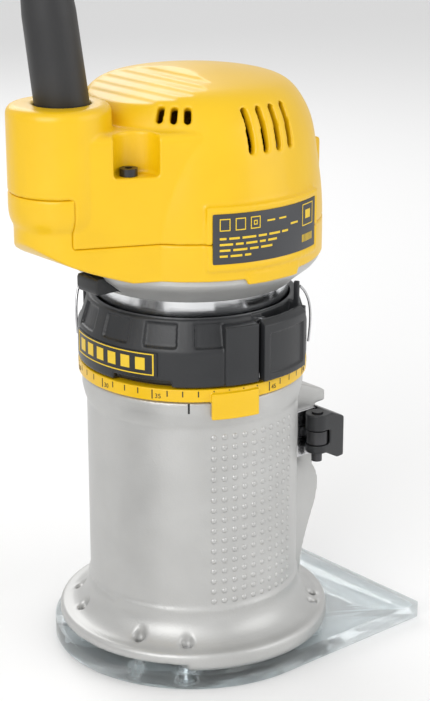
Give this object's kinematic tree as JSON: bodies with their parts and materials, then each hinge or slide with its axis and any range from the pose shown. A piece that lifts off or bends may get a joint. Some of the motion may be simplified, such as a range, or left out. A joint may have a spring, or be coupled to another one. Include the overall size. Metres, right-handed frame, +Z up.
{
  "type": "trim router",
  "caption": "Compact fixed-base trim router: motor in a yellow housing on a turned can, threaded depth ring, clamped cast base, clear sub-base and coiled mains cord.",
  "frame": {"origin": "centre of the bit opening at the underside of the sub-base", "axes": "+Z up the spindle axis, +X towards the window and clamp lever, -X towards the cord boss"},
  "size_m": [0.3329, 0.1129, 0.3187],
  "materials": {
    "cast_aluminium": "satin",
    "turned_aluminium": "polished",
    "steel": "brushed",
    "dark_steel": "black oxide",
    "clear_plastic": "clear",
    "black_plastic": "matte, glass-filled",
    "yellow_plastic": "fine texture",
    "yellow_print": "printed",
    "label": "satin film",
    "rubber": "matte",
    "copper": "enamelled",
    "brass": "satin",
    "carbon": "carbon",
    "lamination": "laminated"
  },
  "bodies": {
    "base": {"sub_base": "clear_plastic", "sub_base_screws": "steel", "base_casting": "cast_aluminium", "guide_pins": "steel", "snap_ring": "dark_steel", "clamp_plate": "steel", "clamp_bolt": "steel", "clamp_nut": "steel", "lever_pin": "steel", "cord_coil": "rubber", "cord_end": "rubber", "coil_tie": "black_plastic", "plug_body": "rubber", "plug_pins": "steel"},
    "lever": {"clamp_lever": "black_plastic"},
    "micro_ring": {"micro_ring": "yellow_plastic"},
    "adjust_ring": {"adjust_ring": "black_plastic", "ring_badge": "yellow_print", "release_pins": "steel", "tab_springs": "steel"},
    "tab_front": {"release_tab_front": "black_plastic"},
    "tab_rear": {"release_tab_rear": "black_plastic"},
    "motor_unit": {"motor_can": "turned_aluminium", "upper_housing": "yellow_plastic", "lower_housing": "yellow_plastic", "housing_screws": "dark_steel", "label_plate": "label", "switch_body": "black_plastic", "speed_module": "black_plastic", "lock_spring": "steel", "lock_guide": "black_plastic", "field_core": "lamination", "field_coils": "copper", "lower_bearing": "steel", "upper_bearing": "steel", "bearing_bridge": "black_plastic", "brush_holders": "brass", "brushes": "carbon", "brush_springs": "steel", "strain_relief": "rubber", "cord_clamp": "black_plastic", "power_cord": "rubber"},
    "rotor": {"spindle_shaft": "steel", "armature_core": "lamination", "armature_windings": "copper", "commutator": "copper", "cooling_fan": "black_plastic", "collet": "steel", "collet_nut": "dark_steel"},
    "rocker": {"switch_rocker": "black_plastic"},
    "dial": {"speed_dial": "black_plastic"},
    "lock": {"lock_button": "black_plastic"}
  },
  "joints": [
    {"name": "depth_slide", "type": "slide", "parent": "base", "child": "motor_unit", "axis": [0, 0, 1], "range_m": [0, 0.038]},
    {"name": "ring_spin", "type": "hinge", "parent": "base", "child": "adjust_ring", "pos_m": [0, 0, 0.12], "axis": [0, 0, 1], "range_deg": [0, 1080]},
    {"name": "micro_spin", "type": "hinge", "parent": "base", "child": "micro_ring", "pos_m": [0, 0, 0.106], "axis": [0, 0, 1], "range_deg": [-180, 180]},
    {"name": "lever_open", "type": "hinge", "parent": "base", "child": "lever", "pos_m": [0.04, -0.0242, 0.073], "axis": [0, 0, -1], "range_deg": [0, 110]},
    {"name": "tab_front_press", "type": "hinge", "parent": "adjust_ring", "child": "tab_front", "pos_m": [-0.00231, -0.03883, 0.12], "axis": [0, 0, 1], "range_deg": [0, 8], "stiffness_Nm_per_rad": 0.3, "springref_deg": -5.73},
    {"name": "tab_rear_press", "type": "hinge", "parent": "adjust_ring", "child": "tab_rear", "pos_m": [0.00231, 0.03883, 0.12], "axis": [0, 0, 1], "range_deg": [0, 8], "stiffness_Nm_per_rad": 0.3, "springref_deg": -5.73},
    {"name": "rotor_spin", "type": "hinge", "parent": "motor_unit", "child": "rotor", "pos_m": [0, 0, 0.1], "axis": [0, 0, 1], "continuous": true},
    {"name": "switch_rock", "type": "hinge", "parent": "motor_unit", "child": "rocker", "pos_m": [0.044, 0, 0.172], "axis": [0, 1, 0], "range_deg": [0, 12]},
    {"name": "dial_turn", "type": "hinge", "parent": "motor_unit", "child": "dial", "pos_m": [0.0345, 0, 0.1944], "axis": [0, -1, 0], "range_deg": [0, 300]},
    {"name": "lock_press", "type": "slide", "parent": "motor_unit", "child": "lock", "axis": [1, 0, 0], "range_m": [0, 0.0038], "stiffness_N_per_m": 800, "springref_m": -0.002, "deforming": ["lock_spring"]}
  ],
  "couplings": [
    {"joint": "ring_spin", "follows": "depth_slide", "rad_per_m": 494.74}
  ]
}
